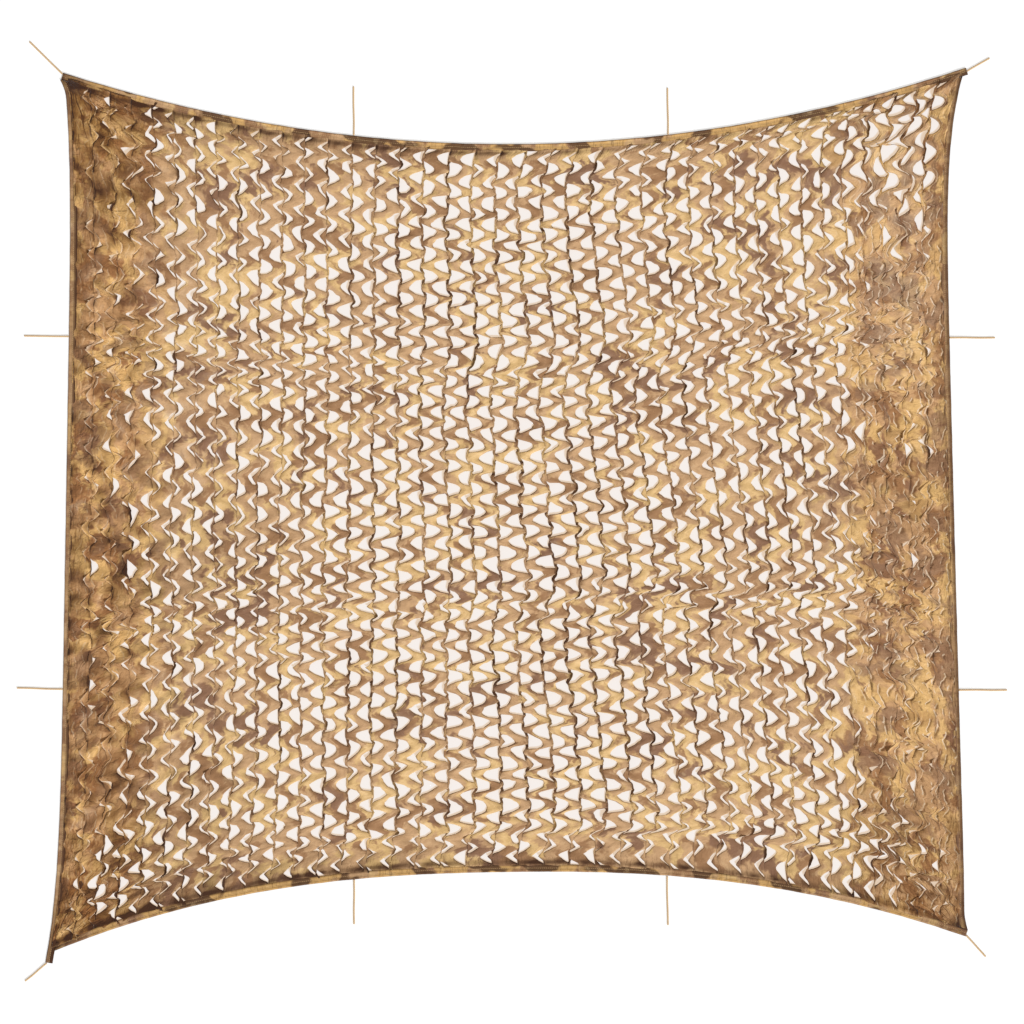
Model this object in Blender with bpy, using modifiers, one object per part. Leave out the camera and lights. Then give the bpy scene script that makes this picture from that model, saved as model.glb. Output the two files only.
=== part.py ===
"""Camouflage netting, about 3 m by 3 m.

One cut cloth is pulled open into leaf-shaped gaps. It is bound along its four sides and has twelve
short tie ropes. It lies on a flat surface with its sides bowed inwards between the corners.
Metres, +Z up, +Y towards the net's top edge; the origin is under the middle of the bound net.
"""

import math
from collections import namedtuple

import bmesh
import bpy
from mathutils import Vector

# Cloth and binding
CLOTH = 0.002            # thickness of the net's cloth
GAP = 0.0003             # clearance between pieces that touch
ROLL = 0.009             # diameter of the binding's rolled outer edge
LAYER = 0.0012           # thickness of each of the binding's two layers
BINDING_WIDTH = 0.024    # outer edge to inner edge
SLOT_FLOOR = 0.010       # depth, from the outer edge, where the binding's two layers part
NET_INSET = 0.0125       # the net's edge, measured from the binding's outer edge
NET_LIFT = LAYER + GAP   # height of the net's underside inside the binding
BUTT_GAP = 0.0005        # clearance where one binding ends against another
BINDING_STATIONS = 24

# Where the outer edges of the bindings meet
CORNERS = {
    "bottom_left": (-1.532, -1.460),
    "bottom_right": (1.522, -1.400),
    "top_right": (1.525, 1.490),
    "top_left": (-1.475, 1.473),
}

# The four sides, anticlockwise. bow: how far the middle is drawn inwards; fullness: exponent of
# the bow, high for a side that is nearly straight between its corners; lean: above 0 where the bow
# is deeper towards the side's end.
# side, start corner, end corner, bow, fullness, lean
SIDES = {
    "bottom": ("bottom_left", "bottom_right", 0.243, 2.4, -0.03),
    "right": ("bottom_right", "top_right", 0.036, 6.0, 1.1),
    "top": ("top_right", "top_left", 0.245, 2.0, 0.0),
    "left": ("top_left", "bottom_left", 0.035, 6.0, 0.1),
}

# How each binding ends. run: how far it runs on past the corner, or None where it stops against
# the inner edge of its neighbour; flare: how far its first tip is pushed outwards.
# side: (start run, end run, start flare)
BINDING_ENDS = {
    "bottom": (None, 0.004, 0.0),
    "right": (None, None, 0.020),
    "top": (0.002, 0.002, 0.0),
    "left": (None, 0.027, 0.026),
}
FLARE_REACH = 0.09       # the flare fades out this far along the binding

# The open field of the net: columns of cloth zigzags between upright strips
FIELD_START = 0.690      # from the net's left edge to the first upright strip
COLUMN = 0.1735          # from one upright strip to the next
COLUMNS = 10
STRIP = 0.018            # width of an upright strip
ZIGZAG = 0.070           # width of the zigzag cloth, measured across
FIELD_RISE = 0.075       # from the net's bottom edge to the first row, at the middle
ROW = 0.150
ROWS = 15
NET_WIDTH = 2.945        # edge to edge, left to right, at the middle
NET_HEIGHT = 2.400       # edge to edge at the middle, top to bottom

# Four levels in each row, as parts of the row. Equal numbers are welded into one point.
LEVELS = {
    "plain": (0.0, 0.0, 0.0, 1.0),
    "strip_left": (-0.2, 0.5, 0.5, 0.8),
    "strip_right": (0.0, 0.3, 0.3, 1.0),
    "zigzag": (0.0, 0.3, 0.5, 0.8),
}

# Upright folds of the gathered cloth beside the left and right bindings
# distance from the net's side edge, height of the fold, phase along its length
LEFT_FOLDS = (
    (0.050, 0.000, 0.0),
    (0.084, 0.011, 0.4),
    (0.118, 0.001, 0.0),
    (0.155, 0.009, 2.1),
    (0.195, 0.000, 0.0),
    (0.236, 0.007, 4.0),
    (0.285, 0.000, 0.0),
)
RIGHT_FOLDS = (
    (0.048, 0.000, 0.0),
    (0.088, 0.010, 1.3),
    (0.122, 0.001, 0.0),
    (0.162, 0.012, 3.0),
    (0.206, 0.001, 0.0),
    (0.247, 0.008, 5.1),
    (0.292, 0.002, 0.0),
    (0.330, 0.006, 0.8),
    (0.372, 0.000, 0.0),
)
FOLD_LENGTH = 0.85       # length over which a fold rises and falls
SLOT_RUN = 0.020         # the net stays level this far in from its edge, inside the binding
DOWN_RUN = 0.046         # and reaches the surface this far in

# Tie ropes
ROPE = 0.006
ROPE_EXIT = 0.0045       # height at which a rope leaves its binding
ROPE_LIE = 0.0033        # height of its middle where it lies on the surface
ROPE_STEP = 0.018

# Route of each rope from the binding to its free end: x and y of its points
TIES = {
    "tie_corner_tl": ((-1.4799, 1.4698), (-1.516, 1.5050), (-1.553, 1.5415), (-1.590, 1.578)),
    "tie_corner_tr": ((1.5317, 1.4795), (1.555, 1.4935), (1.581, 1.5083), (1.607, 1.523)),
    "tie_corner_bl": ((-1.5328, -1.4898), (-1.557, -1.5105), (-1.581, -1.5315), (-1.605, -1.550)),
    "tie_corner_br": ((1.5290, -1.3977), (1.551, -1.4215), (1.5725, -1.4455), (1.594, -1.469)),
    "tie_top_1": ((-0.510, 1.2656), (-0.5096, 1.312), (-0.5112, 1.375), (-0.511, 1.429)),
    "tie_top_2": ((0.536, 1.2685), (0.5362, 1.314), (0.5345, 1.372), (0.534, 1.424)),
    "tie_bottom_1": ((-0.509, -1.2116), (-0.5087, -1.262), (-0.5096, -1.316), (-0.509, -1.361)),
    "tie_bottom_2": ((0.533, -1.2000), (0.5331, -1.256), (0.5351, -1.318), (0.536, -1.364)),
    "tie_left_1": ((-1.4589, 0.596), (-1.505, 0.5964), (-1.560, 0.5972), (-1.608, 0.598)),
    "tie_left_2": ((-1.4789, -0.578), (-1.526, -0.5776), (-1.581, -0.5752), (-1.632, -0.574)),
    "tie_right_1": ((1.4736, 0.592), (1.520, 0.5924), (1.574, 0.5914), (1.625, 0.592)),
    "tie_right_2": ((1.5044, -0.581), (1.566, -0.5806), (1.617, -0.5816), (1.665, -0.581)),
}

# Finishes: colour, roughness
FINISHES = {
    "net_cloth": ((0.50, 0.33, 0.15), 0.85),
    "binding_cloth": ((0.42, 0.27, 0.12), 0.85),
    "rope": ((0.60, 0.45, 0.28), 0.90),
}


# ---------------------------------------------------------------- scene and materials

def empty_scene():
    for obj in list(bpy.data.objects):
        bpy.data.objects.remove(obj, do_unlink=True)


def new_collection(name):
    collection = bpy.data.collections.new(name)
    bpy.context.scene.collection.children.link(collection)
    return collection


def finish(name):
    material = bpy.data.materials.get(name)
    if material:
        return material
    colour, roughness = FINISHES[name]
    material = bpy.data.materials.new(name)
    material.use_nodes = True
    shader = material.node_tree.nodes["Principled BSDF"]
    shader.inputs["Base Color"].default_value = (*colour, 1.0)
    shader.inputs["Roughness"].default_value = roughness
    shader.inputs["Metallic"].default_value = 0.0
    return material


def add_mesh(name, mesh, collection, finish_name):
    obj = bpy.data.objects.new(name, mesh)
    collection.objects.link(obj)
    mesh.materials.clear()
    mesh.materials.append(finish(finish_name))
    return obj


# ---------------------------------------------------------------- outline of the net

def turn_left(v):
    return Vector((-v.y, v.x))


def edge_point(side, corners, t):
    """Point on a side's edge; past its corners the edge runs straight on."""
    start, end, bow, fullness, lean = SIDES[side]
    a, b = Vector(corners[start]), Vector(corners[end])
    inward = turn_left((b - a).normalized())
    inside = min(max(t, 0.0), 1.0)
    middle = 2.0 * inside - 1.0
    depth = bow * (1.0 - abs(middle) ** fullness) * (1.0 + lean * middle)
    point = a + (b - a) * inside + inward * depth
    if t == inside:
        return point
    step = 0.002 if t < 0.0 else -0.002
    slope = (point - edge_point(side, corners, inside + step)) / abs(step)
    return point + slope * abs(t - inside)


def edge_direction(side, corners, t):
    step = 0.001
    return (edge_point(side, corners, t + step) - edge_point(side, corners, t - step)).normalized()


def inset_point(side, t, inset):
    """Point on the bound edge, moved inwards across it."""
    return edge_point(side, CORNERS, t) + turn_left(edge_direction(side, CORNERS, t)) * inset


def crossing(p, along_p, q, along_q):
    """Where the line through p meets the line through q."""
    across = turn_left(along_q)
    return p + along_p * ((q - p).dot(across) / along_p.dot(across))


def net_corners():
    """Corners of the net's own edge, inside the bindings."""
    names = list(SIDES)
    corners = {}
    for before, after in zip(names, names[1:] + names[:1]):
        corners[SIDES[after][0]] = crossing(
            inset_point(before, 1.0, NET_INSET), edge_direction(before, CORNERS, 1.0),
            inset_point(after, 0.0, NET_INSET), edge_direction(after, CORNERS, 0.0))
    return corners


def net_point(u, v, corners):
    """Point of the pulled net, from parts of its width and height."""
    bottom = edge_point("bottom", corners, u)
    top = edge_point("top", corners, 1.0 - u)
    right = edge_point("right", corners, v)
    left = edge_point("left", corners, 1.0 - v)
    low = Vector(corners["bottom_left"]).lerp(Vector(corners["bottom_right"]), u)
    high = Vector(corners["top_left"]).lerp(Vector(corners["top_right"]), u)
    return bottom.lerp(top, v) + left.lerp(right, u) - low.lerp(high, v)


# ---------------------------------------------------------------- net sheet

# An upright grid line: its zone, its kind in LEVELS, its x on the four levels of a row, and the
# height and phase of its fold. A level grid line: its band, its height or row, its step in the row.
Line = namedtuple("Line", "zone kind across height phase")
Level = namedtuple("Level", "band place step")


def net_lines():
    """Upright lines of the net's grid, from its left edge to its right edge."""
    lines = [Line("slot", "plain", (place,) * 4, 0.0, 0.0) for place in (0.0, SLOT_RUN)]
    for place, height, phase in LEFT_FOLDS:
        lines.append(Line("fold", "plain", (place,) * 4, height, phase))
    for column in range(COLUMNS + 1):
        strip = FIELD_START + column * COLUMN
        near, far = strip + STRIP, strip + COLUMN
        lines.append(Line("field", "strip_left", (strip,) * 4, 0.0, 0.0))
        lines.append(Line("field", "strip_right", (near,) * 4, 0.0, 0.0))
        if column < COLUMNS:
            left_side = (near, near, far - ZIGZAG, far - ZIGZAG)
            right_side = (near + ZIGZAG, near + ZIGZAG, far, far)
            lines.append(Line("field", "zigzag", left_side, 0.0, 0.0))
            lines.append(Line("field", "zigzag", right_side, 0.0, 0.0))
    for place, height, phase in reversed(RIGHT_FOLDS):
        lines.append(Line("fold", "plain", (NET_WIDTH - place,) * 4, height, phase))
    lines += [Line("slot", "plain", (NET_WIDTH - place,) * 4, 0.0, 0.0) for place in (SLOT_RUN, 0.0)]
    return lines


def net_levels():
    """Level lines of the net's grid, from its bottom edge to its top edge."""
    hem = [Level("slot", 0.0, 0), Level("slot", SLOT_RUN, 0), Level("plain", DOWN_RUN, 0)]
    levels = list(hem)
    for row in range(ROWS):
        levels += [Level("row", row, step) for step in range(4)]
    levels.append(Level("row", ROWS, 0))
    levels += [Level(level.band, NET_HEIGHT - level.place, 0) for level in reversed(hem)]
    return levels


def is_gap(lines, levels, i, j):
    """Whether the grid's face at line i and level j is part of a gap in the open field."""
    if lines[i].zone != "field" or levels[j].band != "row" or levels[j + 1].band != "row":
        return False
    kinds = (lines[i].kind, lines[i + 1].kind)
    if kinds == ("strip_right", "zigzag"):
        return levels[j].step != 0
    return kinds == ("zigzag", "strip_left") and levels[j].step != 2


def uneven(x, y):
    """Small wander of the pulled cloth, none at its edges."""
    reach = 0.20
    free = min(1.0, x / reach, (NET_WIDTH - x) / reach, y / reach, (NET_HEIGHT - y) / reach)
    wander_x = 0.007 * math.sin(13.0 * y + 2.0 * x) + 0.004 * math.sin(31.0 * y - 5.0 * x)
    wander_y = 0.009 * math.sin(7.0 * x + 1.0) * math.cos(3.0 * y) + 0.005 * math.sin(17.0 * x)
    return x + free * wander_x, y + free * wander_y


def grid_spot(lines, levels, i, j, corners):
    """Where the grid's point at line i and level j lies on the net's underside."""
    line, level = lines[i], levels[j]
    if level.band == "row":
        x = line.across[level.step]
        y = FIELD_RISE + (level.place + LEVELS[line.kind][level.step]) * ROW
    else:
        while lines[i].kind in ("zigzag", "strip_right"):
            i -= 1
        x = lines[i].across[0]
        y = level.place
    swell = 0.55 + 0.45 * math.sin(2.0 * math.pi * y / FOLD_LENGTH + line.phase)
    height = line.height * swell if level.band == "row" else 0.0
    if "slot" in (line.zone, level.band):
        height = NET_LIFT
    x, y = uneven(x, y)
    spot = net_point(x / NET_WIDTH, y / NET_HEIGHT, corners)
    return spot.x, spot.y, height


def make_net_sheet(collection):
    lines, levels, corners = net_lines(), net_levels(), net_corners()
    columns, rows = len(lines) - 1, len(levels) - 1
    grid = bmesh.new()
    bmesh.ops.create_grid(grid, x_segments=columns, y_segments=rows, size=0.5)
    place = {}
    for vertex in grid.verts:
        place[vertex] = (round((vertex.co.x + 0.5) * columns), round((vertex.co.y + 0.5) * rows))
    gaps = []
    for face in grid.faces:
        i, j = min(place[vertex] for vertex in face.verts)
        if is_gap(lines, levels, i, j):
            gaps.append(face)
    for vertex, (i, j) in place.items():
        vertex.co = grid_spot(lines, levels, i, j, corners)
    bmesh.ops.delete(grid, geom=gaps, context="FACES")
    bmesh.ops.remove_doubles(grid, verts=grid.verts, dist=1e-5)
    mesh = bpy.data.meshes.new("net_sheet")
    grid.to_mesh(mesh)
    grid.free()

    net = add_mesh("net_sheet", mesh, collection, "net_cloth")
    thicken = net.modifiers.new("cloth thickness", "SOLIDIFY")
    thicken.thickness = CLOTH
    thicken.offset = 1.0
    return net


# ---------------------------------------------------------------- bindings

def binding_profile(collection):
    """Cross-section of a folded binding: x across it from its outer edge, y up."""
    radius = ROLL / 2.0
    points = []
    for degrees in (270, 225, 180, 135, 90, 45):
        angle = math.radians(degrees)
        points.append((radius + radius * math.cos(angle), radius + radius * math.sin(angle)))
    net_top = NET_LIFT + CLOTH + GAP
    points += [
        (SLOT_FLOOR + LAYER, net_top + LAYER),
        (BINDING_WIDTH, net_top + LAYER),
        (BINDING_WIDTH, net_top),
        (SLOT_FLOOR, net_top),
        (SLOT_FLOOR, LAYER),
        (BINDING_WIDTH, LAYER),
        (BINDING_WIDTH, 0.0),
    ]
    curve = bpy.data.curves.new("binding_profile", "CURVE")
    curve.dimensions = "2D"
    curve.fill_mode = "NONE"
    spline = curve.splines.new("POLY")
    spline.points.add(len(points) - 1)
    for point, (across, up) in zip(spline.points, points):
        point.co = (-across, up, 0.0, 1.0)
    spline.use_cyclic_u = True
    profile = bpy.data.objects.new("binding_profile", curve)
    collection.objects.link(profile)
    profile.hide_render = True
    profile.display_type = "WIRE"
    return profile


def binding_line(side):
    """Outer edge of a binding, its stations closer together towards its ends."""
    start_run, end_run, start_flare = BINDING_ENDS[side]
    length = (Vector(CORNERS[SIDES[side][1]]) - Vector(CORNERS[SIDES[side][0]])).length
    first = -(start_run if start_run is not None else BINDING_WIDTH) / length
    last = 1.0 + (end_run if end_run is not None else BINDING_WIDTH) / length
    points = []
    for station in range(BINDING_STATIONS + 1):
        part = station / BINDING_STATIONS
        part = 0.5 * (part + 0.5 * (1.0 - math.cos(math.pi * part)))
        t = first + (last - first) * part
        flare = start_flare * max(0.0, 1.0 - t * length / FLARE_REACH) ** 2
        points.append(inset_point(side, t, -flare))
    return points


def cut_square_to(mesh_data, neighbour, t):
    """Cut the binding off where it meets the inner edge of its neighbour, and close the cut."""
    direction = edge_direction(neighbour, CORNERS, t)
    spot = inset_point(neighbour, t, BINDING_WIDTH + BUTT_GAP)
    outward = -turn_left(direction)
    everything = list(mesh_data.verts) + list(mesh_data.edges) + list(mesh_data.faces)
    cut = bmesh.ops.bisect_plane(
        mesh_data, geom=everything, dist=1e-6, plane_co=(*spot, 0.0), plane_no=(*outward, 0.0),
        clear_outer=True)
    rim = [piece for piece in cut["geom_cut"] if isinstance(piece, bmesh.types.BMEdge)]
    bmesh.ops.edgeloop_fill(mesh_data, edges=rim)


def make_binding(side, profile, collection):
    name = "binding_" + side
    curve = bpy.data.curves.new(name, "CURVE")
    curve.dimensions = "3D"
    curve.twist_mode = "Z_UP"
    curve.bevel_mode = "OBJECT"
    curve.bevel_object = profile
    curve.use_fill_caps = True
    line = binding_line(side)
    spline = curve.splines.new("POLY")
    spline.points.add(len(line) - 1)
    for point, spot in zip(spline.points, line):
        point.co = (spot.x, spot.y, 0.0, 1.0)
    swept = bpy.data.objects.new(name + "_swept", curve)
    collection.objects.link(swept)

    depsgraph = bpy.context.evaluated_depsgraph_get()
    mesh = bpy.data.meshes.new_from_object(swept.evaluated_get(depsgraph))
    bpy.data.objects.remove(swept, do_unlink=True)
    mesh_data = bmesh.new()
    mesh_data.from_mesh(mesh)
    bmesh.ops.remove_doubles(mesh_data, verts=mesh_data.verts, dist=1e-6)
    names = list(SIDES)
    start_run, end_run, _ = BINDING_ENDS[side]
    if start_run is None:
        cut_square_to(mesh_data, names[names.index(side) - 1], 1.0)
    if end_run is None:
        cut_square_to(mesh_data, names[(names.index(side) + 1) % len(names)], 0.0)
    bmesh.ops.recalc_face_normals(mesh_data, faces=mesh_data.faces)
    mesh_data.to_mesh(mesh)
    mesh_data.free()
    return add_mesh(name, mesh, collection, "binding_cloth")


# ---------------------------------------------------------------- tie ropes

def smooth_route(points, step):
    """Points about one step apart on a smooth curve through the given ones."""
    ends = [points[0] * 2.0 - points[1]] + points + [points[-1] * 2.0 - points[-2]]
    route = []
    for before, a, b, after in zip(ends, ends[1:], ends[2:], ends[3:]):
        pieces = max(1, round((b - a).length / step))
        for k in range(pieces):
            s = k / pieces
            route.append(0.5 * ((2.0 * a) + (b - before) * s
                                + (2.0 * before - 5.0 * a + 4.0 * b - after) * s ** 2
                                + (3.0 * a - before - 3.0 * b + after) * s ** 3))
    route.append(points[-1])
    return route


def make_tie(name, spots, collection):
    heights = [ROPE_EXIT] + [ROPE_LIE] * (len(spots) - 1)
    points = [Vector((x, y, z)) for (x, y), z in zip(spots, heights)]
    curve = bpy.data.curves.new(name, "CURVE")
    curve.dimensions = "3D"
    curve.bevel_depth = ROPE / 2.0
    curve.bevel_resolution = 2
    curve.use_fill_caps = True
    route = smooth_route(points, ROPE_STEP)
    spline = curve.splines.new("POLY")
    spline.points.add(len(route) - 1)
    for point, spot in zip(spline.points, route):
        point.co = (*spot, 1.0)
    curve.materials.append(finish("rope"))
    tie = bpy.data.objects.new(name, curve)
    collection.objects.link(tie)
    return tie


def main():
    empty_scene()
    netting = new_collection("camouflage_netting")
    guides = new_collection("guides")
    make_net_sheet(netting)
    profile = binding_profile(guides)
    for side in SIDES:
        make_binding(side, profile, netting)
    for name, spots in TIES.items():
        make_tie(name, spots, netting)


main()
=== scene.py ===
"""Camouflage netting, about 3 m by 3 m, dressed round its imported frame.

One cut cloth is pulled open into leaf-shaped gaps. It is bound along its four sides and has twelve
short tie ropes. Metres, +Z up, +Y towards the net's top edge.
"""

import math
import random
from collections import namedtuple

import bmesh
import bpy
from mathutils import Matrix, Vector, noise


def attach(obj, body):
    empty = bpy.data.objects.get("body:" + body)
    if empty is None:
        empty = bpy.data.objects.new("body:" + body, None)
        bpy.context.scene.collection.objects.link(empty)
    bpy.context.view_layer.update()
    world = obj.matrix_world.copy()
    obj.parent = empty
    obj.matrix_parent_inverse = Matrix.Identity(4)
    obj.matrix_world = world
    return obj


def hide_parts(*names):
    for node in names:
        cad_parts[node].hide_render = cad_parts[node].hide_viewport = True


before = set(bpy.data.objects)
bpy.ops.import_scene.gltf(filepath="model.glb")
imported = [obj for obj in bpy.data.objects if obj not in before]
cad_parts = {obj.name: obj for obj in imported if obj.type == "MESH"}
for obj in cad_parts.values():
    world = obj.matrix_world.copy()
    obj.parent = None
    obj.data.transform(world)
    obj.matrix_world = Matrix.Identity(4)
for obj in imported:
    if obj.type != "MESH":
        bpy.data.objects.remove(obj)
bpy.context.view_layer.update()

noise.seed_set(3)        # so that noise_vector gives the same values each time

# -------- named sizes

# Outline, as in the frame's source: where the outer edges of the bindings meet
CORNERS = {
    "bottom_left": (-1.532, -1.460),
    "bottom_right": (1.522, -1.400),
    "top_right": (1.525, 1.490),
    "top_left": (-1.475, 1.473),
}
# side: start corner, end corner, depth of its bow, fullness, lean
SIDES = {
    "bottom": ("bottom_left", "bottom_right", 0.243, 2.4, -0.03),
    "right": ("bottom_right", "top_right", 0.036, 6.0, 1.1),
    "top": ("top_right", "top_left", 0.245, 2.0, 0.0),
    "left": ("top_left", "bottom_left", 0.035, 6.0, 0.1),
}
# side: run past its first corner, run past its last corner (None: stops at its neighbour), flare
BINDING_ENDS = {
    "bottom": (None, 0.004, 0.0),
    "right": (None, None, 0.020),
    "top": (0.002, 0.002, 0.0),
    "left": (None, 0.027, 0.026),
}
FLARE_REACH = 0.09
BINDING_WIDTH = 0.024
BINDING_STATIONS = 240   # steps along one binding
BUTT_GAP = 0.0005
ROLL = 0.009             # diameter of the binding's rolled edge
LAYER = 0.0012           # thickness of each of its layers
SLOT_FLOOR = 0.010
SLOT_TOP = 0.0038        # underside of the upper layer
NET_INSET = 0.0125       # the net's edge, measured from the binding's outer edge
FOLD_LINE = 0.0125       # sewn line along the middle of the binding
STITCH = 0.0065          # one stitch and the space after it

# The cut cloth: columns of zigzag ribbons between upright strands
COLUMNS = 39
ROWS = 34
FLAT_COLUMN = 0.070      # one column and one row of the cloth before it is pulled open
FLAT_ROW = 0.087
CUT_DEPTH = 0.41         # depth of a leaf's cut, as a part of the column
CLOTH = 0.0008           # thickness
CLOTH_BOTTOM = 0.0006    # lowest height of the middle of its thickness
CLOTH_TOP = 0.0235       # height that no fold of the net goes above
YARN = 0.0012            # one wave of the weave
LEAF_LEAST = 0.002       # shorter leaves aren't made
NO_LEAF = 1.0            # a leaf shortened by this much is gone
# piece: first strand, last strand, hems that go with it
NET_PIECES = {
    "net_left": (0, 10, ["left"]),
    "net_middle_left": (10, 20, ["bottom"]),
    "net_middle_right": (20, 30, ["top"]),
    "net_right": (30, 39, ["right"]),
}

# Tie ropes
ROPE = 0.006             # diameter
ROPE_EXIT = 0.0045       # height of its middle where it leaves the binding
ROPE_LIE = 0.0033        # and where it lies on the floor
ROPE_STRANDS = 3
ROPE_PITCH = 0.022       # one turn of its strands
ROPE_TIP = 0.003         # length that narrows towards its cut end
ROPE_SIDES = 18
ROPE_STEP = 0.002        # from one ring of its points to the next
# tie: x and y of its points, from the binding to its free end
TIES = {
    "tie_corner_tl": ((-1.4799, 1.4698), (-1.516, 1.5050), (-1.553, 1.5415), (-1.590, 1.578)),
    "tie_corner_tr": ((1.5317, 1.4795), (1.555, 1.4935), (1.581, 1.5083), (1.607, 1.523)),
    "tie_corner_bl": ((-1.5328, -1.4898), (-1.557, -1.5105), (-1.581, -1.5315), (-1.605, -1.550)),
    "tie_corner_br": ((1.5290, -1.3977), (1.551, -1.4215), (1.5725, -1.4455), (1.594, -1.469)),
    "tie_top_1": ((-0.510, 1.2656), (-0.5096, 1.312), (-0.5112, 1.375), (-0.511, 1.429)),
    "tie_top_2": ((0.536, 1.2685), (0.5362, 1.314), (0.5345, 1.372), (0.534, 1.424)),
    "tie_bottom_1": ((-0.509, -1.2116), (-0.5087, -1.262), (-0.5096, -1.316), (-0.509, -1.361)),
    "tie_bottom_2": ((0.533, -1.2000), (0.5331, -1.256), (0.5351, -1.318), (0.536, -1.364)),
    "tie_left_1": ((-1.4589, 0.596), (-1.505, 0.5964), (-1.560, 0.5972), (-1.608, 0.598)),
    "tie_left_2": ((-1.4789, -0.578), (-1.526, -0.5776), (-1.581, -0.5752), (-1.632, -0.574)),
    "tie_right_1": ((1.4736, 0.592), (1.520, 0.5924), (1.574, 0.5914), (1.625, 0.592)),
    "tie_right_2": ((1.5044, -0.581), (1.566, -0.5806), (1.617, -0.5816), (1.665, -0.581)),
}


# -------- small helpers

def smooth(x, low, high):
    t = min(max((x - low) / (high - low), 0.0), 1.0)
    return t * t * (3.0 - 2.0 * t)


def bell(x, middle, width):
    return math.exp(-((x - middle) / width) ** 2)


def mix(a, b, t):
    return a + (b - a) * t


def new_object(name, data, material=None):
    obj = bpy.data.objects.new(name, data)
    bpy.context.scene.collection.objects.link(obj)
    if material:
        data.materials.append(material)
    return obj


def new_material(name):
    material = bpy.data.materials.new(name)
    material.use_nodes = True
    return material, material.node_tree, material.node_tree.nodes["Principled BSDF"]


def set_inputs(node, values):
    for name, value in values.items():
        node.inputs[name].default_value = value


def only(obj):
    bpy.ops.object.select_all(action="DESELECT")
    obj.select_set(True)
    bpy.context.view_layer.objects.active = obj


# -------- camera, light and floor

VIEW_CENTRE = (0.01665, 0.01166)
VIEW_SIDE = 3.41
CAMERA_HEIGHT = 12.0
SENSOR = 36.0
FLOOR_REACH = 9.0


def make_camera():
    data = bpy.data.cameras.new("camera")
    data.sensor_width = SENSOR
    data.lens = SENSOR * CAMERA_HEIGHT / VIEW_SIDE
    data.clip_end = 100.0
    camera = new_object("camera", data)
    camera.location = (*VIEW_CENTRE, CAMERA_HEIGHT)
    bpy.context.scene.camera = camera


def sun_light(name, place, strength, width, tint):
    data = bpy.data.lights.new(name, "SUN")
    data.color = tint
    data.energy = strength
    data.angle = width
    light = new_object(name, data)
    light.location = place
    light.rotation_euler = (-Vector(place)).to_track_quat("-Z", "Y").to_euler()


def make_lights():
    world = bpy.data.worlds.new("studio")
    world.use_nodes = True
    set_inputs(world.node_tree.nodes["Background"],
               {"Color": (1.0, 0.92, 0.82, 1.0), "Strength": 0.42})
    bpy.context.scene.world = world
    sun_light("key", place=(1.8, -3.4, 4.0), strength=2.85, width=0.25, tint=(1.0, 1.05, 1.12))
    settings = bpy.context.scene.view_settings
    settings.view_transform = "Standard"
    settings.look = "None"


def make_paper(name, points, height, tone, glow, glow_colour=(1.0, 1.0, 1.0)):
    """Flat paper that belongs to the scene's floor, with a little light of its own."""
    mesh = bpy.data.meshes.new(name)
    mesh.from_pydata([(x, y, height) for x, y in points], [], [tuple(range(len(points)))])
    material, _, shader = new_material(name + "_paper")
    set_inputs(shader, {"Base Color": (*tone, 1.0), "Roughness": 0.9,
                        "Emission Color": (*glow_colour, 1.0), "Emission Strength": glow})
    paper = new_object(name, mesh, material)


def make_floor(net_outline):
    r = FLOOR_REACH
    make_paper("floor", [(-r, -r), (r, -r), (r, r), (-r, r)],
               height=0.0, tone=(0.46, 0.46, 0.46), glow=0.56)
    # painted warm light: the sheet under the net glows as if light falling through the net were
    # warmed by the cloth, most of all in its shadow
    make_paper("painted_glow_under_net", net_outline.around(40), height=0.0003,
               tone=(0.193, 0.312, 0.42), glow=0.71, glow_colour=(1.0, 0.741, 0.525))


# -------- outline of the net

def turn_left(v):
    return Vector((-v.y, v.x))


def edge_point(side, corners, t):
    """Point on a side's edge; past its corners the edge runs straight on."""
    start, end, bow, fullness, lean = SIDES[side]
    a, b = Vector(corners[start]), Vector(corners[end])
    inward = turn_left((b - a).normalized())
    inside = min(max(t, 0.0), 1.0)
    middle = 2.0 * inside - 1.0
    depth = bow * (1.0 - abs(middle) ** fullness) * (1.0 + lean * middle)
    point = a + (b - a) * inside + inward * depth
    if t == inside:
        return point
    step = 0.002 if t < 0.0 else -0.002
    slope = (point - edge_point(side, corners, inside + step)) / abs(step)
    return point + slope * abs(t - inside)


def edge_direction(side, corners, t):
    step = 0.001
    return (edge_point(side, corners, t + step) - edge_point(side, corners, t - step)).normalized()


def inset_point(side, t, inset):
    """Point on the bound edge, moved inwards across it."""
    return edge_point(side, CORNERS, t) + turn_left(edge_direction(side, CORNERS, t)) * inset


def crossing(p, along_p, q, along_q):
    """Where the line through p meets the line through q."""
    across = turn_left(along_q)
    return p + along_p * ((q - p).dot(across) / along_p.dot(across))


def net_corners():
    """Corners of the net's own edge, inside the bindings."""
    names = list(SIDES)
    corners = {}
    for before, after in zip(names, names[1:] + names[:1]):
        corners[SIDES[after][0]] = crossing(
            inset_point(before, 1.0, NET_INSET), edge_direction(before, CORNERS, 1.0),
            inset_point(after, 0.0, NET_INSET), edge_direction(after, CORNERS, 0.0))
    return corners


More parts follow.
